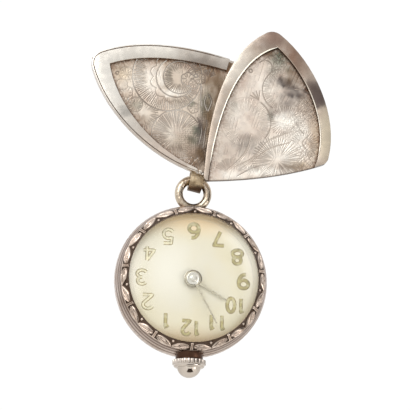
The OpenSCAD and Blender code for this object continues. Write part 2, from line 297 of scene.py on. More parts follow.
def inside(p, polygon):
    """Which points lie inside a polygon, by crossings of a ray."""
    x, y = p[:, 0], p[:, 1]
    odd = np.zeros(len(p), bool)
    for (x0, y0), (x1, y1) in zip(polygon, np.roll(polygon, -1, axis=0)):
        crosses = (y0 > y) != (y1 > y)
        if y0 != y1:
            odd ^= crosses & (x < (x1 - x0) * (y - y0) / (y1 - y0) + x0)
    return odd


# Engraving: rays, strokes, stippling and curls give how deep the graver goes, from 0 to 1
CUT_DEPTH = 0.055
# Oxide reaches past the sides of a cut
INK_SPREAD = 0.45
# Widths of fine strokes, of a flower's outline and of a stem's two lines
FINE_W = 0.06
RING_W = 0.08
STEM_W = (0.09, 0.05)
STEM_GAP = (0.26, -0.1)
# How far a scalloped outline swells, as a share of its radius
SCALLOP = 0.16
# Radius of a punched dot, and the cells after which the dots' places repeat
DOT_R = 0.1
DOT_CELLS = 64


def rays(p, centre, r_in, r_out, count, seed, start=0, sweep=360):
    """Strokes that run from near r_out towards the centre and fade out at r_in."""
    rng = np.random.default_rng(seed)
    lean, short, long = rng.uniform(-0.5, 0.5, (3, count)) * [[0.7], [1], [0.12]]
    d = p - centre
    rho = np.hypot(d[:, 0], d[:, 1]) + 1e-9
    turn = (np.degrees(np.arctan2(d[:, 1], d[:, 0])) - start) % 360
    k = turn / sweep * count
    idx = np.clip(np.floor(k), 0, count - 1).astype(int)
    off = (k - idx - 0.5 - lean[idx] * 0.6) * math.radians(sweep) / count * rho
    first = r_in + short[idx] * (r_out - r_in) * 0.6
    last = r_out * (1 + long[idx])
    fade_in = step(first - 0.25, first + (r_out - r_in) * 0.5, rho)
    fade_out = 1 - step(last - 0.12, last, rho)
    return np.exp(-(off / FINE_W) ** 2) * fade_in * fade_out * (turn <= sweep)


def smooth_line(points, count=40):
    """Points along a curve through the given ones."""
    pts = np.array(points, float)
    pts = np.concatenate([[2 * pts[0] - pts[1]], pts, [2 * pts[-1] - pts[-2]]])
    out = []
    for i in range(1, len(pts) - 2):
        t = np.linspace(0, 1, count // (len(pts) - 3) + 2, endpoint=False)[:, None]
        a, b, c, d = pts[i - 1:i + 3]
        out.append(0.5 * (2 * b + (c - a) * t + (2 * a - 5 * b + 4 * c - d) * t ** 2
                          + (3 * b - a - 3 * c + d) * t ** 3))
    out.append(pts[-2:-1])
    return np.concatenate(out)


def stroke(p, points, width):
    r, _ = nearest(p, smooth_line(points))
    return np.exp(-(r / width) ** 2)


def ripple(p, seed, size, waves=5):
    """Slow unevenness from a few crossed waves, from -1 to 1."""
    rng = np.random.default_rng(seed)
    out = np.zeros(len(p))
    for _ in range(waves):
        a = rng.uniform(0, 2 * math.pi)
        f = 2 * math.pi / size * rng.uniform(0.6, 1.5)
        out += np.sin(p[:, 0] * math.cos(a) * f + p[:, 1] * math.sin(a) * f + rng.uniform(0, 6.3))
    return out / waves


def patches(p, rows):
    """Soft patches, each with its strength in its middle and 0 outside.

    Rows are (x, z, half width, half height) and may go on with softness and strength.
    """
    total = np.zeros(len(p))
    for x, z, rx, rz, *more in rows:
        soft, strength = more or (0.6, 1)
        r = np.hypot((p[:, 0] - x) / rx, (p[:, 1] - z) / rz)
        total = np.maximum(total, strength * (1 - step(1 - soft, 1 + soft * 0.5, r)))
    return total


def stipple(p, gap, seed):
    """Punched dots, one in each cell of a grid."""
    rng = np.random.default_rng(seed)
    jitter = rng.uniform(0.25, 0.75, (DOT_CELLS, DOT_CELLS, 2))
    cell = np.floor(p / gap).astype(int)
    at = (cell + jitter[cell[:, 0] % DOT_CELLS, cell[:, 1] % DOT_CELLS]) * gap
    return np.exp(-(np.linalg.norm(p - at, axis=1) / DOT_R) ** 2)


def curls(p, size, seed):
    """Fine crossing lines that close into uneven cells."""
    f = 2 * math.pi / size
    x = p[:, 0] + 0.5 * size * ripple(p, seed, 3 * size)
    z = p[:, 1] + 0.5 * size * ripple(p, seed + 1, 3 * size)
    return np.exp(-((np.sin(x * f) + np.sin(z * f * 0.8 + 0.6 * np.sin(x * f * 0.5))) / 0.3) ** 2)


# Round flowers: x, z, radius, strokes, share where the strokes start, scallops, outline's strength,
# darkness and seed, then the first angle and sweep of one drawn in part. Share 0 leaves what lies
# under it.
LEFT_FLOWERS = [
    (-13.1, -2.3, 3.2, 44, 0.52, 0, 0, 0.9, 5),
    (-16.1, 1.1, 1.25, 10, 0.6, 5, 0.7, 0.6, 3),
    (-16.7, 2.7, 0.9, 0, 0.5, 4, 0.6, 0.5, 15),
    (-14.3, -0.8, 1.3, 16, 0.55, 0, 0.7, 0.6, 4),
    (-17.64, 4.74, 0.27, 0, 0.5, 0, 0.9, 0.9, 2),
    (-16, 4.7, 1.1, 9, 0.3, 4, 0.5, 0.4, 14),
    (-4, -0.9, 0.85, 8, 0.5, 5, 0.8, 0.8, 17),
    (-3.4, -9.4, 2.4, 34, 0.6, 0, 0, 0.6, 7),
    (-8.77, 4.5, 6.15, 104, 0.68, 0, 1, 1, 8),
    (-7.25, 4.37, 3.95, 0, 0, 12, 0.7, 0.8, 16, 120, 190),
    (-7.2, 4.37, 3.5, 0, 0.5, 0, 1, 1, 9, 120, 200),
    (-6.55, 4.45, 2.9, 46, 0.5, 0, 1, 1, 10),
    (-6.6, 4.5, 1.2, 0, 0.5, 0, 0, 0, 19),
    (-5.1, 4.2, 1.05, 9, 0.45, 6, 1, 1, 11),
    (-4.1, 3.4, 0.75, 7, 0.4, 5, 0.9, 0.9, 20),
    (-3, 4.4, 0.9, 10, 0.3, 5, 0.7, 0.9, 21),
    (-3.68, 4.87, 0.3, 0, 0.5, 0, 1, 1, 12),
    (-1.6, 4.6, 1.7, 10, 0.15, 0, 0, 0.9, 18, 20, 110),
    (-6.96, -5.8, 4.35, 50, 0.38, 0, 0.9, 1, 13, 30, 265),
]
RIGHT_FLOWERS = [
    (9.5, 7.8, 1.05, 5, 0.6, 3, 0.8, 0.9, 21),
    (10.9, 7.3, 0.9, 6, 0.5, 4, 0.6, 0.8, 22),
    (8.3, 6.6, 1.35, 0, 0.5, 3, 0.8, 0.9, 23, 300, 190),
    (5.9, 6.1, 0.3, 0, 0.5, 0, 0.8, 0.9, 25),
    (15.6, -6.6, 2.6, 34, 0.5, 0, 0, 0.9, 30),
    (12.3, -2.7, 5.3, 9, 0.68, 0, 0, 1, 35, 8, 48),
    (12.3, -2.7, 3, 44, 0.55, 0, 0, 0.7, 28),
    (11.9, 2.9, 3.8, 34, 0.68, 0, 0, 0.6, 24, 95, 160),
    (11.9, 2.9, 3.82, 0, 0, 0, 0.9, 1, 26, 100, 140),
    (12.9, 3, 1.1, 0, 0, 0, 0.5, 0, 27, 20, 150),
    (5.24, -3.13, 4.4, 92, 0.6, 0, 0.3, 0.34, 29),
    (5.24, -3.13, 4.45, 0, 0, 0, 0.95, 1, 34, -50, 105),
    (10.9, -9.8, 4.5, 56, 0.26, 0, 0, 0.85, 31),
    (7.4, -12.9, 2.4, 18, 0.5, 0, 0, 0.8, 32, 10, 140),
    (2.9, -12.6, 3.1, 30, 0.5, 0, 0, 0.5, 33, 10, 150),
]
RIGHT_STEMS = [
    [(2.2, -11.8), (4, -10.1), (5.55, -7.9), (6.2, -5.3)],
    [(3.5, -11.3), (6.6, -9.4), (8.9, -6.7), (10.8, -5.5), (13.9, -4.3)],
    [(4.6, -11.6), (7.5, -9.2), (9.9, -7.5), (13, -6.5)],
]
LEFT_STEMS = [
    [(-2.65, 3), (-2.8, 1.2), (-2.55, -0.5)],
    [(-1.4, 1.7), (-0.9, 0.4), (-1.4, -1.3)],
    [(-1.9, 1.4), (-2.1, 0.1), (-1.6, -1.3)],
    [(-3.3, -2.6), (-2.5, -4.6), (-2.9, -7.2)],
    [(-1.6, -3), (-1.9, -5.2), (-2.2, -8)],
]
SPRIG = np.array([7.5, 0.9])
SPRIG_LEN = 1.7
RIGHT_SPRIG = [[SPRIG, SPRIG + SPRIG_LEN * heading(a)] for a in (86, 108, 132, 152)]
RIGHT_LINES = [
    [(13.7, 3.2), (15, 3.1), (16.3, 2.5)],
    [(14.2, -2.7), (14.8, -4), (14, -4.6)],
    [(14.8, -4), (15.6, -4.8)],
    [(16.4, -5), (15.4, -6.4), (15.9, -7.4)],
    [(3.9, -12.9), (6.2, -11.5), (8.4, -10.7)],
]
# Patches of stippling and curls: x, z, half width, half height
LEFT_STIPPLE = [(-4.4, -6.9, 2.6, 3.4), (-2.2, -4, 1.4, 5)]
LEFT_CURLS = [(-1.8, 6.2, 2.2, 0.9), (-15.2, 0.2, 1.4, 0.7), (-4, -10.2, 3, 1),
              (-10.5, -6.6, 1, 1.4)]
RIGHT_STIPPLE = [(10.4, 6.2, 1.6, 1.4), (14, -3.4, 3, 2.4)]
RIGHT_CURLS = [(16, -0.6, 2.6, 2.6), (15.8, -8.6, 2, 3.4), (14.2, -3, 1.6, 2.4),
               (10.8, 8.8, 1.2, 1.2)]

# What stays of cuts that a flower covers
COVERED_SHARE = 0.1


def flowers(p, rows):
    """Depth of the cuts and how dark they are."""
    depth, ink = np.zeros(len(p)), np.zeros(len(p))
    for x, z, r, strokes, share, scallops, rim, dark, seed, *drawn in rows:
        start, sweep = drawn or (0, 360)
        centre = np.array([x, z])
        d = p - centre
        rho = np.hypot(d[:, 0], d[:, 1])
        turn = np.arctan2(d[:, 1], d[:, 0])
        edge = r + SCALLOP * r * np.abs(np.sin(turn * scallops / 2))
        swept = (np.degrees(turn) - start) % 360 <= sweep
        if share:
            covered = (rho < edge) & swept
            depth[covered] *= COVERED_SHARE
            ink[covered] *= COVERED_SHARE
        new = np.exp(-((rho - edge) / RING_W) ** 2) * swept * rim
        if strokes:
            cuts = rays(p, centre, share * r, 0.97 * r, strokes, seed, start, sweep)
            new = np.maximum(new, cuts * (rho < edge))
        depth = np.maximum(depth, new * (0.35 + 0.65 * dark))
        ink = np.maximum(ink, new ** INK_SPREAD * dark)
    return depth, ink


# Strokes all over the sheets fan out from a point below the wings
FAN_FROM = np.array([-2, -30])
FAN_REACH = (8, 60)
FAN_STROKES = 330
FAN_DEPTH = 0.35
STIPPLE_GAP = 0.36
CURL_SIZE = 0.85


def fine_ground(p, dotted, curled, seed):
    """The fanned strokes, where the graver dwelt on them, with stippling and curls in places."""
    fan = FAN_DEPTH * rays(p, FAN_FROM, *FAN_REACH, FAN_STROKES, seed)
    ground = fan * (ripple(p, seed + 3, 3) > 0.1)
    ground = np.maximum(ground, 0.75 * stipple(p, STIPPLE_GAP, seed) * patches(p, dotted))
    return np.maximum(ground, 0.8 * curls(p, CURL_SIZE, seed + 7) * patches(p, curled))


def tarnish_at(p, kinds, seed):
    """Strength of each kind of tarnish, polish and painted shade at each point, with patches whose edges
    wander.
    """
    drift = [0.55 * ripple(p, seed + k, 2.2, 9) + 0.3 * ripple(p, seed + k + 2, 0.8, 9) for k in (21, 22)]
    moved = p + np.stack(drift, axis=1)
    wobble = 0.95 + 0.4 * ripple(p, seed + 11, 1.9, 7)
    return {kind: np.clip(patches(moved, rows) * wobble, 0, 1) for kind, rows in kinds.items()}


# The sheets keep off the framed outline, lie a little over the panels and are slightly wavy
SHEET_MARGIN = 0.35
SHEET_RISE = 0.04
SHEET_WAVE = 0.02
# Reach of rust, and of painted shade, from the frame and from the open side
RUST_REACH = 0.8
SHADE_REACH = 0.16
SHADE_OPEN = 0.15


def engraved(wing, name, design, grid, seed):
    """Sheet of the panel's face with its engraving cut in, and where tarnish and painted shade lie on it.
    """
    rows, stems, stem_dark, lines, dotted, curled = design
    low, high = wing.outline.min(0), wing.outline.max(0)
    nx, nz = (np.ceil((high - low) / grid) + 1).astype(int)
    gx, gz = np.meshgrid(low[0] + grid * np.arange(nx), low[1] + grid * np.arange(nz), indexing="ij")
    p = np.stack([gx.ravel(), gz.ravel()], axis=1)
    within = inside(p, wing.outline)
    rim, _ = nearest(p, np.concatenate([wing.curves[0], wing.curves[1]]))
    edge, foot = nearest(p, wing.curves[2])
    keep = (rim > SHEET_MARGIN) & (within | (edge < grid))
    snap = keep & (edge < np.where(within, 0.3 * grid, grid))
    p[snap] = foot[snap]
    ground = fine_ground(p, dotted, curled, seed)
    depth, ink = flowers(p, rows)
    depth = np.maximum(0.6 * ground, depth) + 0.35 * ground
    ink = np.maximum(0.85 * np.clip(ground, 0, 1) ** 0.7, ink)
    marks = [(stroke(p, points, FINE_W), 1) for points in lines]
    for points in stems:
        second = (smooth_line(points) + STEM_GAP)[::8]
        double = np.maximum(stroke(p, points, STEM_W[0]), 0.8 * stroke(p, second, STEM_W[1]))
        marks.append((double, stem_dark))
    for line, dark in marks:
        depth = np.maximum(depth, line)
        ink = np.maximum(ink, line ** INK_SPREAD * dark)
    lift = SHEET_RISE - CUT_DEPTH * np.clip(depth, 0, 1) + SHEET_WAVE * ripple(p, seed + 5, 6)
    number = np.full(len(p), -1)
    number[keep] = np.arange(keep.sum())
    number = number.reshape(nx, nz)
    quads = np.stack([number[:-1, :-1], number[1:, :-1], number[1:, 1:], number[:-1, 1:]], axis=-1)
    quads = quads.reshape(-1, 4)
    quads = quads[(quads >= 0).all(axis=1)]
    co = np.stack([p[:, 0], -(wing.panel + lift), p[:, 1]], axis=1)[keep]
    long_edge, outer_edge = (nearest(p, line)[0] for line in wing.inner)
    # the frame's long side hides the first of the painted shade that lies against it
    against = np.minimum(np.maximum(long_edge - SHADE_REACH, 0), outer_edge)
    values = {
        "cut": np.clip(ink, 0, 1),
        "rust": np.exp(-np.minimum(long_edge, outer_edge) / RUST_REACH),
        # near: painted shade where the panel meets the frame and along its open edge
        "near": np.maximum(np.exp(-against / SHADE_REACH), np.exp(-(edge / SHADE_OPEN) ** 2)),
    }
    values.update(tarnish_at(p, TARNISH_AND_SHADE[name], seed))
    values = {key: column[keep] for key, column in values.items()}
    return mesh_piece(name, "brooch", co, quads, values)


# Patches of tarnish and polish, and on the left panel painted shade along the right wing's edge: x, z,
# half width, half height, softness, strength
TARNISH_AND_SHADE = {
    "left_engraving": {
        # the brown, green and grey patches near x 0 to -3, along the right wing's edge, are painted
        # shadow of that wing mixed with patina
        "brown": [(-1, 4.9, 2.2, 2.8, 0.9, 1), (-0.9, -2.8, 1.6, 6.5, 0.9, 0.95),
                  (0.2, 3, 1.6, 4.4, 0.7, 1), (-2.9, -9.8, 2.6, 2.8, 0.9, 0.95),
                  (-9, 7.8, 9, 0.9, 0.9, 0.85), (-13.4, -3.4, 1.6, 1, 0.9, 0.5),
                  (-5.4, -7.4, 2.8, 2.6, 0.9, 0.45), (-10.5, -6.6, 2, 1.2, 0.9, 0.6),
                  (-17.6, 5.9, 1.8, 0.8, 0.9, 0.5), (-3.2, 6.2, 1.6, 1, 0.9, 0.8),
                  (1.8, 6.9, 1.7, 1.7, 0.7, 1)],
        "gold": [(-16.6, 4.4, 1.8, 1.8, 0.9, 0.6), (-1.4, -4, 1.2, 3, 0.9, 0.7)],
        "green": [(-1.8, -0.2, 1.3, 2.8, 0.8, 0.95), (-3.3, -4.9, 1.2, 1.1, 0.8, 1),
                  (-3.8, -6.7, 1.3, 0.9, 0.8, 0.95), (-14.3, -0.8, 1.4, 1.2, 0.8, 0.45),
                  (-4.4, -0.2, 1, 0.6, 0.8, 0.7), (-8.5, 5, 0.7, 2.2, 0.9, 0.4)],
        "grey": [(-2.4, -5.2, 1.1, 3.8, 0.8, 0.9), (-2.2, -8.8, 1.3, 2.4, 0.8, 0.9)],
        "bright": [(-11.6, 3.6, 2.2, 3.6, 0.9, 0.6), (-10, 4.4, 0.6, 2.4, 0.9, 0.6),
                   (-8, 1.6, 2.4, 0.7, 0.9, 0.8), (-15.8, 3.6, 2.4, 2.4, 0.9, 0.5),
                   (-8.2, -4.6, 3.2, 3.2, 0.9, 0.3), (-12.8, -2.2, 1.6, 1.6, 0.9, 0.35)],
    },
    "right_engraving": {
        "brown": [(13.6, 5.7, 2.4, 2.2, 0.9, 0.75), (16.2, 0.4, 1.8, 2.2, 0.9, 0.6),
                  (13.8, -10.9, 2.6, 0.7, 0.9, 0.75), (8.8, 9.4, 1.4, 0.8, 0.9, 0.75),
                  (2.4, -9.4, 2.4, 3.6, 0.9, 0.2)],
        "gold": [(17.8, -5.5, 1.5, 5.8, 0.9, 0.6), (15.4, -10.4, 2.8, 1, 0.9, 0.55)],
        "green": [(10.9, 8.7, 2.2, 2, 0.9, 1), (12.6, 6.9, 1, 1.4, 0.9, 0.6),
                  (10, 6.4, 1.2, 1.4, 0.9, 0.5), (9.6, -1.7, 0.5, 1.2, 0.8, 0.6),
                  (3, 1, 0.8, 3, 0.9, 0.3)],
        "grey": [(12.2, 4.3, 2.4, 1, 0.8, 1), (14, 2.4, 2.4, 1.5, 0.8, 0.95),
                 (16.2, 3.1, 1.9, 1, 0.8, 0.9), (13.2, 3.4, 1.7, 1.1, 0.8, 0.9),
                 (12.6, 0.7, 1.9, 2.4, 0.9, 0.6), (5.4, -7.1, 2.6, 2.1, 0.9, 0.5),
                 (10, -0.4, 1.4, 2.2, 0.9, 0.3)],
        "bright": [(12.3, -2.7, 2.8, 2, 0.9, 1), (12.8, -7.6, 4, 3, 0.9, 0.75),
                   (8.6, -11.9, 5, 1.1, 0.9, 0.8), (3.2, -12.7, 2.6, 0.8, 0.9, 0.8),
                   (14.6, -4.6, 2.2, 2.2, 0.9, 0.8), (8.4, 3.4, 2.2, 3, 0.9, 0.4),
                   (3.6, -0.6, 2, 3.6, 0.9, 0.35)],
    },
}


# Materials

class Nodes:
    """A node tree, and short ways to add to it."""

    def __init__(self, tree):
        self.tree = tree

    def node(self, kind, **values):
        """A new node with these values on its inputs."""
        n = self.tree.nodes.new("ShaderNode" + kind)
        for key, value in values.items():
            n.inputs[key].default_value = value
        return n

    def link(self, a, b):
        self.tree.links.new(a, b)

    def math(self, kind, a, b):
        n = self.node("Math")
        n.operation = kind
        for socket, value in zip(n.inputs, (a, b)):
            if isinstance(value, (int, float)):
                socket.default_value = value
            else:
                self.link(value, socket)
        return n.outputs[0]

    def vector(self, kind, a, b=None):
        n = self.node("VectorMath")
        n.operation = kind
        self.link(a, n.inputs[0])
        if b:
            n.inputs[1].default_value = b
        return n

    def between(self, value, low, high, out_low=0, out_high=1):
        """Smooth step from out_low to out_high as the value goes from low to high."""
        n = self.node("MapRange")
        n.interpolation_type = "SMOOTHSTEP"
        self.link(value, n.inputs[0])
        for i, v in enumerate((low, high, out_low, out_high)):
            n.inputs[i + 1].default_value = v
        return n.outputs[0]


# A Mix node's sockets for its two colours and for what comes out
MIX_UNDER, MIX_OVER, MIX_OUT = 6, 7, 2


class Shader(Nodes):
    """A principled material whose colour is built up in layers."""

    def __init__(self, name, colour, metallic, roughness):
        self.material = bpy.data.materials.new(name)
        self.material.use_nodes = True
        super().__init__(self.material.node_tree)
        self.shader = self.tree.nodes["Principled BSDF"]
        self.shader.inputs["Metallic"].default_value = metallic
        self.shader.inputs["Roughness"].default_value = roughness
        self.colour = srgb(colour)
        self.shader.inputs["Base Color"].default_value = self.colour
        self.place = self.node("TexCoord").outputs["Object"]

    def scaled(self, size):
        """Object coordinates in which one unit is size millimetres, for each axis."""
        n = self.node("Mapping", Scale=[1 / (s * MM) for s in size])
        self.link(self.place, n.inputs["Vector"])
        return n.outputs[0]

    def raw_noise(self, size, detail, distortion=0):
        n = self.node("TexNoise", Scale=1, Detail=detail, Distortion=distortion)
        self.link(self.scaled(size), n.inputs["Vector"])
        return n

    def noise(self, size, detail, low, high, distortion=0):
        size = size if isinstance(size, tuple) else (size,) * 3
        return self.between(self.raw_noise(size, detail, distortion).outputs[0], low, high)

    def value(self, key):
        n = self.node("Attribute")
        n.attribute_name = key
        return n.outputs["Fac"]

    def wandering(self, size, reach):
        """The place, moved about by up to half of reach, so that a patch's edge is uneven."""
        colour = self.raw_noise((size,) * 3, 4).outputs["Color"]
        moved = self.vector("MULTIPLY_ADD", colour, (reach * MM,) * 3)
        self.link(self.place, moved.inputs[2])
        return self.vector("SUBTRACT", moved.outputs[0], (reach / 2 * MM,) * 3).outputs[0]

    def distance(self, x, z, rx, rz, wander=0):
        """Distance from a point as seen from the front, in which rx and rz count as 1."""
        n = self.node("Mapping", Location=(x * MM, 0, z * MM), Scale=(rx * MM, 1, rz * MM))
        n.vector_type = "TEXTURE"
        self.link(self.wandering(1.8, wander) if wander else self.place, n.inputs["Vector"])
        return self.vector("LENGTH", n.outputs[0]).outputs["Value"]

    def patch(self, x, z, rx, rz, soft, wander=0):
        """1 inside a soft patch as seen from the front, 0 outside."""
        return self.between(self.distance(x, z, rx, rz, wander), 1 - soft, 1 + soft / 2, 1, 0)

    def layer(self, colour, factor, strength=1, dim=1):
        n = self.node("Mix")
        n.data_type = "RGBA"
        self.link(self.math("MULTIPLY", factor, strength), n.inputs[0])
        if isinstance(self.colour, tuple):
            n.inputs[MIX_UNDER].default_value = self.colour
        else:
            self.link(self.colour, n.inputs[MIX_UNDER])
        n.inputs[MIX_OVER].default_value = srgb(colour, dim)
        self.colour = n.outputs[MIX_OUT]
        self.link(self.colour, self.shader.inputs["Base Color"])

    def rough(self, factor, low, high):
        self.link(self.between(factor, 0, 1, low, high), self.shader.inputs["Roughness"])

    def bump(self, height, depth):
        n = self.node("Bump", Distance=depth * MM, Strength=1)
        self.link(height, n.inputs["Height"])
        self.link(n.outputs[0], self.shader.inputs["Normal"])


def old_silver(name, colour, tarnish=0.5, roughness=0.3, scratch=0.003):
    """Silver with uneven tarnish and fine scratches."""
    m = Shader(name, colour, 1, roughness)
    m.layer((150, 122, 98), m.noise(3.5, 4, 0.42, 0.75), tarnish)
    m.layer((226, 220, 212), m.noise(1.9, 3, 0.5, 0.8), 0.35)
    m.rough(m.noise(1.2, 3, 0.3, 0.7), roughness - 0.07, roughness + 0.1)
    m.bump(m.noise((0.9, 0.9, 0.12), 2, 0.2, 0.8), scratch)
    return m


def engraved_silver(name, colour):
    m = Shader(name, colour, 1, 0.36)
    m.layer((172, 140, 124), m.noise(2.6, 4, 0.4, 0.75), 0.36)
    for tone, kind, strength in (((255, 250, 240), "bright", 0.95), ((206, 180, 140), "gold", 0.7),
                                 ((92, 102, 88), "green", 0.9), ((80, 74, 73), "grey", 0.92),
                                 ((112, 91, 69), "brown", 0.9)):
        m.layer(tone, m.value(kind), strength)
    specks = m.noise(0.4, 3, 0.3, 0.65)
    m.layer((120, 84, 60), m.math("MULTIPLY", m.value("rust"), specks), 0.95)
    # painted shade where the panel meets the frame and along its open edge
    m.layer((58, 40, 28), m.value("near"), 0.9)
    worn = m.math("SUBTRACT", 1, m.math("MULTIPLY", m.value("bright"), 0.35))
    oxide = m.math("MULTIPLY", m.value("cut"), worn)
    m.layer((66, 50, 38), oxide, 0.95)
    m.link(m.between(oxide, 0.1, 0.8, 1, 0.15), m.shader.inputs["Metallic"])
    m.rough(m.math("MAXIMUM", m.noise(0.8, 3, 0.3, 0.7), oxide), 0.26, 0.46)
    m.bump(m.noise(0.3, 2, 0.2, 0.8), 0.004)
    return m


def stained(name, colour, tarnish, stains):
    """Old silver with patches of colour, stains or painted shade: colour, strength, x, z, half width,
    half height, softness.
    """
    m = old_silver(name, colour, tarnish, 0.24)
    for tone, strength, *place in stains:
        m.layer(tone, m.patch(*place, 3), strength)
    return m


def paint(obj, shader):
    obj.data.materials.clear()
    obj.data.materials.append(shader.material)


# Wings

WING_EDGE = 0.14
LEFT_GRID, LEFT_SEED = 0.066, 41
RIGHT_GRID, RIGHT_SEED = 0.068, 51
left_body = dressed("left_wing", "left_wing_body", "brooch", WING_EDGE)
right_body = dressed("right_wing", "right_wing_body", "brooch", WING_EDGE)
LEFT_DESIGN = (LEFT_FLOWERS, LEFT_STEMS, 0.9, [], LEFT_STIPPLE, LEFT_CURLS)
RIGHT_DESIGN = (RIGHT_FLOWERS, RIGHT_STEMS, 0.45, RIGHT_SPRIG + RIGHT_LINES, RIGHT_STIPPLE, RIGHT_CURLS)
left_sheet = engraved(left, "left_engraving", LEFT_DESIGN, LEFT_GRID, LEFT_SEED)
right_sheet = engraved(right, "right_engraving", RIGHT_DESIGN, RIGHT_GRID, RIGHT_SEED)

m = stained("left_silver", (204, 196, 186), 0.25, [
    ((238, 233, 224), 1, -19, 3.5, 6.5, 7.5, 0.8),
    ((228, 222, 212), 1, -11.5, 9, 6, 3, 0.8),
    ((204, 188, 174), 0.8, -8.5, -8.6, 7.6, 4.2, 0.8),
    ((132, 128, 122), 0.55, -16.2, -2.3, 1.9, 1, 0.9),
    ((140, 130, 121), 0.85, -3, 6.8, 4.6, 2.4, 0.8),
    ((226, 216, 204), 0.8, -3, -12.2, 2.4, 0.9, 0.9),
])
# painted shade on the wing's sides and rounded edges
m.layer((196, 182, 170), m.value("flank"), 0.7)
paint(left_body, m)
m = stained("right_silver", (196, 182, 168), 0.3, [
    ((228, 219, 206), 0.85, 3, 6.4, 3.2, 4.2, 0.8),
    ((136, 112, 100), 0.9, 9.6, 12, 3, 2.8, 0.8),
    ((136, 114, 100), 0.9, 14, 8.4, 2.8, 4.4, 0.8),
    ((92, 80, 75), 0.95, 17.2, 2.6, 2.4, 2.9, 0.7),
    ((96, 84, 80), 0.9, 18.1, 0.9, 1.5, 1.5, 0.5),
    ((134, 104, 88), 0.6, 13, 9.2, 1.2, 2.6, 0.9),
    ((206, 193, 170), 0.85, 19.6, -5, 1.9, 5.4, 0.7),
    ((206, 188, 172), 0.6, -1.6, -8, 1.6, 5, 0.8),
])
# painted shade on the wing's sides and rounded edges
m.layer((66, 52, 42), m.value("flank"), 0.85)
paint(right_body, m)


LIP_CORNERS = 10
# The share of its way in which a lip thins out, and what is left of it at its ends
LIP_FADE = 0.08
LIP_END = 0.15


def lip(name, curve, height, radius, shares):
    """Fine rolled edge along the given shares of a curve, thinner at its ends."""
    u = np.linspace(*shares, len(curve) * 2)
    line = np.stack([np.interp(u, np.linspace(0, 1, len(curve)), curve[:, k]) for k in (0, 1)], axis=1)
    full = np.minimum(1, np.minimum(u - shares[0], shares[1] - u) / LIP_FADE + LIP_END) * radius
    aside = rightwards(np.gradient(line, axis=0))
    rings = []
    for a in np.linspace(0, 2 * math.pi, LIP_CORNERS, endpoint=False):
        at = line + aside * (full * math.cos(a))[:, None]
        rings.append(np.stack([at[:, 0], -(height + full * math.sin(a)), at[:, 1]], axis=1))
    co = np.stack(rings, axis=1).reshape(-1, 3)
    return mesh_piece(name, "brooch", co, grid_faces(len(line), LIP_CORNERS, round_columns=True))


LEFT_FRAME = 3.8
RIGHT_FRAME = 4.52
LIP_SUNK = 0.03
SEAM_IN = 0.24
LEFT_APEX_ROUND = 2.2


def seam_path(wing, rounding, first, last):
    """The outline from a share of the long side, round the apex, to a share of the outer side."""
    a, b = wing.sides[:2]
    end = 1 - rounding / np.linalg.norm(a[3] - a[0])
    start = rounding / np.linalg.norm(b[3] - b[0])
    t = np.linspace(0, 1, 12)[1:-1, None]
    p, q = along(a, [end]), along(b, [start])
    corner = (1 - t) ** 2 * p + 2 * t * (1 - t) * a[3] + t * t * q
    path = np.concatenate([along(a, np.linspace(first, end, 60)), corner,
                           along(b, np.linspace(start, last, 60))])
    return path + SEAM_IN * rightwards(np.gradient(path, axis=0))


left_line = seam_path(left, LEFT_APEX_ROUND, 0.03, 0.885)
seam = lip("left_seam", left_line, LEFT_FRAME - LIP_SUNK, 0.1, (0, 1))
paint(seam, old_silver("seam_dark", (104, 92, 84), 0.6, 0.5))
lip_height = RIGHT_FRAME - LIP_SUNK
lip_long = lip("right_lip_long", right.inner[0], lip_height, 0.13, (0.1, 0.99))
lip_outer = lip("right_lip_outer", right.inner[1], lip_height, 0.12, (0.06, 0.93))
paint(lip_long, old_silver("lip_bright", (255, 250, 236), 0, 0.3, 0.001))
paint(lip_outer, stained("lip_silver", (246, 238, 224), 0.2,
                         [((168, 146, 130), 0.9, 12, 7, 5, 7, 0.7)]))
paint(left_sheet, engraved_silver("left_panel", (208, 194, 178)))
paint(right_sheet, engraved_silver("right_panel", (223, 211, 198)))

# Strap, rivet and pin

m = Shader("strap_brass", (180, 160, 131), 1, 0.34)
m.layer((118, 98, 74), m.noise(0.9, 4, 0.4, 0.7), 0.7)
m.layer((214, 200, 176), m.noise((0.5, 2, 2), 3, 0.5, 0.75), 0.5)
# painted shade where the strap's lower end turns under
m.layer((92, 74, 62), m.patch(-2.95, -15.5, 3, 0.95, 0.6, 0.5), 0.85)
m.bump(m.noise((0.1, 0.6, 0.6), 2, 0.2, 0.8), 0.02)
paint(dressed("bail", "bail_strap", "brooch", 0.1), m)
rivet_silver = old_silver("rivet_silver", (238, 230, 218), 0.5, 0.2)
paint(dressed("rivet", "rivet_head", "brooch", 0.05), rivet_silver)
paint(dressed("pin_back", "pin_stem", "brooch", 0.1), old_silver("pin_silver", (198, 192, 184), 0.3))

# Case band, with turned ridges and strokes chased across its swell

BAND_STEPS = 34
BAND_TURNS = 900
# How far the ridges stand out, the depth cut below their tops, and where the grooves lie
RIDGE_OUT = 0.09
RIDGE_CUT = 0.13
GROOVES = (0.06, 0.19, 0.37, 0.86)
GROOVE_W = 0.04

first = math.asin((BAND_FRONT - SWELL_AT) / SWELL_R)
last = math.asin((BAND_BACK - SWELL_AT) / SWELL_R)
swell = [(CASE_R - SWELL_R + SWELL_R * math.cos(a), SWELL_AT + SWELL_R * math.sin(a), math.cos(a),
          math.sin(a)) for a in np.linspace(first, last, BAND_STEPS)]
band_profile = swell + [(r, BAND_BACK, 0, 0) for r in np.linspace(swell[-1][0], BAND_BORE, 4)[1:]]
band_profile += [(BAND_BORE, h, 0, 0) for h in np.linspace(BAND_BACK, BAND_FRONT, 6)[1:]]
band_profile += [(r, BAND_FRONT, 0, 0) for r in np.linspace(BAND_BORE, swell[0][0], 4)[1:-1]]


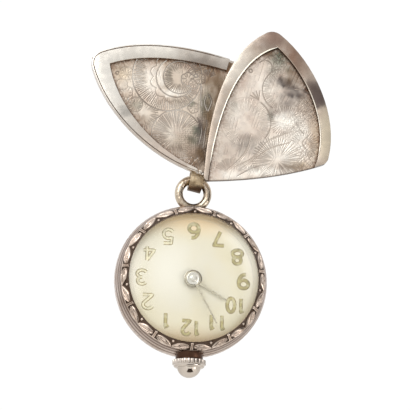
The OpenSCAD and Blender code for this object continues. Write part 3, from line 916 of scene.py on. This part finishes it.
def chasing(angle, index):
    """Turned ridges along both edges, and faint slanted strokes over the swell."""
    share = index / (BAND_STEPS - 1)
    grooves = sum(np.exp(-((share - at) / GROOVE_W) ** 2) for at in GROOVES)
    uneven = 0.6 + 0.4 * np.sin(5 * angle + 1) * np.sin(13 * angle)
    slant = (angle * CASE_R + 1.3 * share) % 1
    strokes = step(0.55, 0.95, np.abs(slant - 0.5) * 2)
    field = step(0.4, 0.46, share) * (1 - step(0.76, 0.84, share))
    cut = np.clip(grooves + 0.55 * uneven * field * strokes, 0, 1)
    return np.where(index < BAND_STEPS, RIDGE_OUT - RIDGE_CUT * cut, 0)


co, quads, out, index = turned(band_profile, BAND_TURNS, chasing)
cut = np.where(index < BAND_STEPS, (RIDGE_OUT - out) / RIDGE_CUT, 0)
band = mesh_piece("case_chased", "watch", co, quads, {"cut": cut})
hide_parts("case_band")
collar = lathe("crown_collar", "watch",
               [(COLLAR_R, 12.6), (COLLAR_R, COLLAR_END - 0.08), (COLLAR_R - 0.08, COLLAR_END),
                (0.56, COLLAR_END)], 72, down=True)
m = old_silver("case_silver", (206, 190, 180), 0.45, 0.24)
m.layer((76, 56, 44), m.value("cut"), 0.88)
paint(band, m)
# the collar's dark colour is painted shade in the gap between the case and the crown
paint(collar, Shader("collar_painted_shade", (78, 56, 44), 1, 0.36))
paint(solids["case_back"], old_silver("back_silver", (204, 198, 190), 0.25, 0.24))
m = stained("bow_silver", (214, 200, 180), 0.5, [
    # painted shade at the ring's bottom, in the gap between the ring and the case
    ((104, 88, 70), 0.9, -3.4, -18.5, 2.2, 1.2, 0.9),
    ((132, 112, 90), 0.7, -0.9, -15.9, 0.8, 1.5, 0.9),
    ((150, 130, 108), 0.4, -5.9, -16.6, 0.7, 1, 0.9),
])
m.layer((118, 100, 78), m.noise(0.7, 4, 0.5, 0.7, 1), 0.6)
m.rough(m.noise(0.8, 3, 0.3, 0.7), 0.12, 0.24)
m.bump(m.noise(0.6, 3, 0.3, 0.7), 0.03)
paint(solids["bow"], m)
for node in ("case_back", "bow", "crystal", "dial", "movement", "crown_stem"):
    shade(solids[node].data, 30)

# Bezel with tied pairs of leaves, cast in relief

SLOPE_RUN = BEZEL_R - OPENING_R
SLOPE_LEN = math.hypot(SLOPE_RUN, BEZEL_FALL)
SLOPE_COS, SLOPE_SIN = SLOPE_RUN / SLOPE_LEN, BEZEL_FALL / SLOPE_LEN
SLOPE_STEPS = 36
UNIT = 2 * math.pi / LEAF_PAIRS
UNIT_TURNS = 110
MID_R = OPENING_R + SLOPE_RUN / 2
LEAF_W = 1.62
LEAF_H = 0.36
LEAF_GAP = 0.38
# Where a leaf starts and ends and where a bead lies, as shares of the slope
LEAF_FROM, LEAF_TO = 0.5, 0.86
BEAD_AT = 0.3
# Width of a leaf's lines, and the place of those beside its midrib, as shares of its half width
VEIN_W = 0.13
BLADE_AT = 0.42
# The two bars of a tie: their place beside its middle, half width and height
BAR_AT = 0.15
BAR_W = 0.13
BAR_H = 0.36
BEAD_R = 0.27
LIP_H = 0.07
WIRE_R = 0.17


def bezel_profile():
    rows = [(OPENING_R + s * SLOPE_RUN, BEZEL_TOP - s * BEZEL_FALL, SLOPE_SIN, SLOPE_COS)
            for s in np.linspace(0, 1, SLOPE_STEPS)]
    mid_r, mid_h = BEZEL_R - WIRE_R / 2, BEZEL_TOP - BEZEL_FALL - SEAT
    rows += [(mid_r + WIRE_R * math.cos(a), mid_h + WIRE_R * math.sin(a), 0, 0)
             for a in np.radians(np.linspace(70, -80, 9))]
    low, under = BAND_FRONT + SEAT, BEZEL_TOP - BEZEL_LIP
    square = ((BEZEL_R, low), (BAND_BORE, low), (BAND_BORE, under), (OPENING_R, under))
    return rows + [(r, h, 0, 0) for r, h in square]


def relief(angle, index):
    """Height of the cast leaves, ties and beads above the slope's ground."""
    s = np.clip(index / (SLOPE_STEPS - 1), 0, 1)
    down = s * SLOPE_LEN
    arc = np.abs((angle + math.pi / 2 + UNIT / 2) % UNIT - UNIT / 2) * MID_R
    half = UNIT / 2 * MID_R
    # each leaf runs from beside its tie to the outer edge, midway to the next tie
    first, last = LEAF_FROM * SLOPE_LEN, LEAF_TO * SLOPE_LEN
    length = math.hypot(half - LEAF_GAP, last - first)
    ua, ud = (half - LEAF_GAP) / length, (last - first) / length
    u = ((arc - LEAF_GAP) * ua + (down - first) * ud) / length
    v = -(arc - LEAF_GAP) * ud + (down - first) * ua
    u_in = np.clip(u, 0, 1)
    width = np.maximum(0.3 * (1 - u_in), LEAF_W / 2 * np.sin(math.pi * u_in ** 0.85) ** 0.75) + 1e-6
    q = v / width
    on_leaf = step(-0.02, 0.03, u) * (1 - step(0.98, 1, u))
    body = np.clip(1 - np.abs(q) ** 2.6, 0, 1) ** 0.7 * on_leaf
    blades = np.exp(-((np.abs(q) - BLADE_AT) / VEIN_W) ** 2) * (1 - step(0.3, 0.6, u))
    midrib = np.exp(-(q / VEIN_W) ** 2) * step(0.02, 0.15, u) * (1 - step(0.8, 0.95, u))
    leaf = LEAF_H * body * (0.7 + 0.3 * np.sin(math.pi * u_in)) * (1 - 0.75 * blades) * (1 - 0.7 * midrib)
    bar = np.clip(1 - ((arc - BAR_AT) / BAR_W) ** 2, 0, 1) ** 0.5
    tie = BAR_H * bar * step(0.08, 0.14, s) * (1 - step(0.9, 0.95, s))
    gap = np.hypot(half - arc, down - BEAD_AT * SLOPE_LEN)
    bead = np.clip(BEAD_R ** 2 - gap ** 2, 0, 1) ** 0.5
    edge = LIP_H * np.exp(-((s - 0.02) / 0.03) ** 2)
    height = np.maximum.reduce([leaf, tie, bead, edge])
    return np.where(index < SLOPE_STEPS, height, 0)


co, quads, height, index = turned(bezel_profile(), LEAF_PAIRS * UNIT_TURNS, relief)
ground = np.where(index < SLOPE_STEPS, 1 - step(0.05, 0.2, height), 0.15)
# painted shade on the bezel's inner edge round the opening
ground = np.where(index < 3, 0.85, ground)
bezel = mesh_piece("bezel_cast", "watch", co, quads, {"ground": ground})
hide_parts("bezel")
m = old_silver("bezel_silver", (226, 209, 195), 0.35, 0.2, 0.003)
m.layer((104, 80, 62), m.noise(1.4, 3, 0.4, 0.7), 0.45)
m.layer((66, 49, 37), m.value("ground"), 0.94)
paint(bezel, m)

# Dial, numbers and hands

m = Shader("dial_cream", (211, 207, 189), 0, 0.45)
out = m.distance(*WATCH, OPENING_R, OPENING_R)
m.layer((216, 210, 184), m.between(out, 0.35, 0.92))
m.layer((206, 196, 160), m.noise(4.5, 3, 0.45, 0.75), 0.4)
# painted light at the dial's upper right and left edges, lifting the bezel's shade
painted_light = m.math("MAXIMUM", m.patch(WATCH[0] + 9, WATCH[1] + 5, 9, 9, 0.9),
               m.patch(WATCH[0] - 11, WATCH[1] + 1.5, 5, 7.5, 0.9))
m.layer((250, 246, 230), m.math("MULTIPLY", m.between(out, 0.72, 0.94), painted_light))
# darker tan towards the dial's edge, left off where the painted light lies
edge_tan = m.math("MULTIPLY", m.between(out, 0.88, 1.02), m.math("SUBTRACT", 1, painted_light))
m.layer((192, 170, 124), edge_tan, 0.65)
for tone, up, strength in (((222, 194, 146), 11.4, 0.85), ((176, 146, 102), -12, 0.75)):
    m.layer(tone, m.patch(WATCH[0], WATCH[1] + up, 14, 3.4, 0.8), strength)
# painted reflection of the glass on the dial's left middle
m.layer((228, 226, 214), m.patch(WATCH[0] - 4.5, WATCH[1] + 2, 5.5, 6.5, 0.9), 0.8)
m.bump(m.noise(0.4, 2, 0.2, 0.8), 0.003)
paint(solids["dial"], m)


def arc(cx, cy, rx, ry, a0, a1, count=18):
    t = np.radians(np.linspace(a0, a1, count))
    return list(zip(cx + rx * np.cos(t), cy + ry * np.sin(t)))


# Strokes of each figure in a box 1 high
DIGITS = {
    "0": [arc(0, 0.5, 0.3, 0.5, 0, 360, 30)],
    "1": [[(0.04, 0), (0.04, 1), (-0.14, 0.84)]],
    "2": [arc(0, 0.72, 0.3, 0.28, 160, -40) + [(-0.3, 0), (0.33, 0)]],
    "3": [arc(-0.02, 0.75, 0.27, 0.25, 150, -90) + arc(-0.02, 0.25, 0.31, 0.25, 90, -150)],
    "4": [[(0.36, 0.28), (-0.34, 0.28), (0.12, 1)], [(0.12, 1), (0.12, 0)]],
    "5": [[(0.28, 1), (-0.2, 1), (-0.24, 0.56)] + arc(-0.02, 0.32, 0.31, 0.32, 130, -150)],
    "6": [arc(0.08, 0.36, 0.4, 0.64, 82, 180, 12) + arc(0, 0.3, 0.3, 0.3, 180, 540, 26)],
    "7": [[(-0.32, 1), (0.32, 1), (-0.08, 0)]],
    "8": [arc(0, 0.75, 0.24, 0.25, 0, 360, 26), arc(0, 0.25, 0.31, 0.25, 0, 360, 26)],
    "9": [arc(-0.08, 0.64, 0.4, 0.64, -98, 0, 12) + arc(0, 0.7, 0.3, 0.3, 0, 360, 26)],
}
FIGURE_RX = 9.0
FIGURE_RZ = 8.6
FIGURE_H = 2.45
# Widths of a lone figure and of each of a pair, and a pair's pitch, as shares of the height
LONE_W = 1.14
PAIR_W = 0.9
PAIR_PITCH = 0.76
FIGURE_SEAT = 0.004
STROKE_RISE = 0.01
PALE = (2, 3, 4, 5)


def ribbon(points, half, top):
    """Flat band of round-ended stroke: points and faces in the dial's plane."""
    pts = np.array(points, float)
    d = np.gradient(pts, axis=0)
    d /= np.linalg.norm(d, axis=1)[:, None] + 1e-9
    n = np.stack([-d[:, 1], d[:, 0]], axis=1) * half
    rings = np.stack([pts + n, pts + n * 0.7, pts - n * 0.7, pts - n], axis=1)
    # the stroke rises a little as it runs, so that it lies over itself where it crosses
    heights = np.linspace(0, STROKE_RISE, len(pts))[:, None] + np.array([0, top, top, 0])
    co = np.concatenate([rings, heights[:, :, None]], axis=2)
    return co.reshape(-1, 3), grid_faces(len(pts), 4)


def dense(points, gap=0.06):
    """More points along a broken line, with its corners kept."""
    pts = np.array(points, float)
    out = []
    for a, b in zip(pts[:-1], pts[1:]):
        k = max(1, int(np.linalg.norm(b - a) / gap))
        out += [a + (b - a) * t for t in np.linspace(0, 1, k, endpoint=False)]
    return np.array(out + [pts[-1]])


def figures(name, hours, half, top, colour, roughness):
    """The numbers of some hours in strokes of one half width, height and colour."""
    co, quads, base = [], [], 0
    for hour in hours:
        text = str(hour)
        at = math.radians(-90 - 30 * hour)
        middle = (math.cos(at) * FIGURE_RX, math.sin(at) * FIGURE_RZ)
        narrow = PAIR_W if len(text) == 2 else LONE_W
        for i, digit in enumerate(text):
            shift = (i - (len(text) - 1) / 2) * PAIR_PITCH
            for level, points in enumerate(DIGITS[digit]):
                pts = dense(points)
                flat = np.stack([pts[:, 0] * narrow + shift, pts[:, 1] - 0.5], axis=1) * FIGURE_H
                strip, faces = ribbon(-flat, half, top)
                height = DIAL_TOP + FIGURE_SEAT + level * 1.2 * STROKE_RISE + strip[:, 2]
                co.append(watch_point(middle[0] + strip[:, 0], middle[1] + strip[:, 1], height))
                quads.append(faces + base)
                base += len(strip)
    piece = mesh_piece(name, "watch", np.concatenate(co), np.concatenate(quads), smooth=False)
    m = Shader(name + "_paint", colour, 0, roughness)
    m.layer(colour, m.noise(0.5, 3, 0.4, 0.7), 0.7, dim=0.6)
    m.layer((214, 208, 180), m.noise(0.8, 4, 0.48, 0.62), 0.45)
    paint(piece, m)


dark_hours = [h for h in range(1, 13) if h not in PALE]
figures("numbers_outline", dark_hours, 0.34, 0.012, (140, 124, 78), 0.5)
figures("numbers_paint", dark_hours, 0.23, 0.05, (176, 166, 114), 0.8)
figures("numbers_pale_outline", PALE, 0.32, 0.012, (146, 132, 84), 0.5)
figures("numbers_pale_paint", PALE, 0.19, 0.04, (230, 224, 194), 0.8)

hands_silver = old_silver("hands_silver", (204, 198, 176), 0.3, 0.3)
for hand in ("hour", "minute"):
    paint(dressed(hand + "_hand", hand + "_hand_polished", hand, 0.03), hands_silver)
paint(solids["movement"], old_silver("arbor_silver", (200, 196, 184), 0.2, 0.25))

# The hands' bosses, with the end of the arbor in the middle
ARBOR_STUB = 0.3
low = -box_mm("hour_hand")[0][1] - BOW_PLANE
hour_ring = lathe("hour_ring", "hour", [
    (1.57, low - 0.14), (1.6, low), (1.57, low + 0.1), (1.5, low + 0.13), (1.42, low + 0.08),
    (1.38, low + 0.01)])
low = -box_mm("minute_hand")[0][1] - BOW_PLANE
top = low + ARBOR_STUB
minute_cap = lathe("minute_cap", "minute", [
    (1.13, low - 0.14), (1.16, low + 0.02), (1.1, low + 0.08), (1, low + 0.1), (0.9, low + 0.07),
    (0.66, low + 0.05), (0.58, low + 0.06), (0.56, top - 0.03), (0.47, top + 0.03),
    (0.3, top + 0.05), (0.16, top + 0.02), (0.08, top + 0.05), (0, top + 0.06)])
paint(hour_ring, old_silver("ring_silver", (196, 190, 172), 0.4, 0.22))
paint(minute_cap, old_silver("cap_silver", (222, 220, 210), 0.2, 0.16))
paint(solids["crown_stem"], old_silver("stem_steel", (150, 146, 140), 0.3, 0.25))

# Glass: clear and slightly yellow, with a soft gloss
m = Shader("glass_old", (252, 250, 240), 0, 0.03)
m.shader.inputs["IOR"].default_value = 1.49
facing = m.node("LayerWeight", Blend=0.3).outputs["Facing"]
m.link(m.between(facing, 0, 1, 0.04, 0.14), m.shader.inputs["Alpha"])
m.bump(m.noise(3, 2, 0.2, 0.8), 0.01)
paint(solids["crystal"], m)

# Crown
crown_silver = old_silver("crown_silver", (206, 196, 186), 0.25, 0.09, 0.002)
paint(dressed("crown", "crown_knurled", "crown", 0.05), crown_silver)

# Floor, light and camera. Places are in metres.

FLOOR_HALF = 6.0
FLOOR_Z = -0.3
MIDDLE = Vector((0, 0, -0.018))


def stage_sheet(name, corners, colour):
    mesh = bpy.data.meshes.new(name)
    mesh.from_pydata(corners, [], [(0, 1, 2, 3)])
    obj = added(name, mesh)
    paint(obj, Shader(name + "_paint", colour, 0, 0.9))
    return obj


def card(name, corners, colour):
    """Dark card that only reflections show, as a photographer sets beside polished metal."""
    obj = stage_sheet(name, corners, colour)
    obj.visible_camera = obj.visible_diffuse = obj.visible_shadow = obj.visible_transmission = False


def softbox(name, place, size, energy, colour):
    lamp = bpy.data.lights.new(name, "AREA")
    lamp.shape = "RECTANGLE"
    lamp.size, lamp.size_y = size
    lamp.energy = energy
    lamp.color = colour
    obj = added(name, lamp)
    obj.location = place
    obj.rotation_euler = (MIDDLE - Vector(place)).to_track_quat("-Z", "Y").to_euler()


floor = [(x * FLOOR_HALF, y * FLOOR_HALF, FLOOR_Z) for x, y in ((-1, -1), (1, -1), (1, 1), (-1, 1))]
stage_sheet("floor", floor, (236, 234, 230))
card("card_below", [(-0.05, -0.19, -0.17), (0.08, -0.19, -0.17), (0.08, -0.035, -0.17),
                    (-0.05, -0.035, -0.17)], (56, 44, 36))
card("card_right", [(0.24, -0.3, -0.1), (0.24, -0.06, -0.1), (0.24, -0.06, 0.1), (0.24, -0.3, 0.1)],
     (48, 40, 34))
softbox("key", (-0.26, -0.52, 0.28), (0.44, 0.44), 1.35, (1, 0.99, 0.97))
softbox("fill", (0.46, -0.36, -0.06), (0.24, 0.5), 1.1, (1, 0.97, 0.94))

# White behind the object; in front, bright at the upper left and darker towards the lower right
BRIGHT_FROM = Vector((-0.55, -0.55, 0.63)).normalized()
world = bpy.data.worlds.new("studio")
bpy.context.scene.world = world
world.use_nodes = True
sky = Nodes(world.node_tree)
way = sky.node("TexCoord").outputs["Generated"]
split = sky.node("SeparateXYZ")
sky.link(way, split.inputs[0])
towards = sky.vector("DOT_PRODUCT", way, BRIGHT_FROM).outputs["Value"]
both = sky.node("Mix")
sky.link(sky.between(split.outputs["Y"], -0.25, 0.1), both.inputs[0])
sky.link(sky.between(towards, -0.3, 0.85, 0.16, 1.08), both.inputs[2])
both.inputs[3].default_value = 1.03
background = sky.tree.nodes["Background"]
background.inputs[0].default_value = (1, 1, 1, 1)
sky.link(both.outputs[0], background.inputs[1])

# The camera stands a little to the left and below, far away with a long lens
AZIMUTH, ELEVATION, ROLL = math.radians(-7), math.radians(-10.5), math.radians(1.36)
PHOTO_W = 410
MM_PER_PIXEL = 0.175
SENSOR_W = 36
DISTANCE = 1200.0
# A point between the wings and the watch, and where the picture's middle is from there
AIM = np.array([-3.5, -4.35, -31])
AIM_ACROSS, AIM_UP = 2.03, 12.28
back = np.array([math.sin(AZIMUTH) * math.cos(ELEVATION), -math.cos(AZIMUTH) * math.cos(ELEVATION),
                 math.sin(ELEVATION)])
level = np.array([math.cos(AZIMUTH), math.sin(AZIMUTH), 0])
upright = np.cross(back, level)
across = level * math.cos(ROLL) + upright * math.sin(ROLL)
up = -level * math.sin(ROLL) + upright * math.cos(ROLL)
place = AIM + across * AIM_ACROSS + up * AIM_UP + back * DISTANCE
camera_data = bpy.data.cameras.new("camera")
camera_data.sensor_width = SENSOR_W
camera_data.lens = SENSOR_W * DISTANCE / (MM_PER_PIXEL * PHOTO_W)
camera_data.clip_end = 20
camera = added("camera", camera_data)
turn = Matrix([across, up, back]).transposed().to_4x4()
camera.matrix_world = Matrix.Translation(Vector(place * MM)) @ turn
bpy.context.scene.camera = camera
bpy.context.scene.view_settings.view_transform = "Standard"
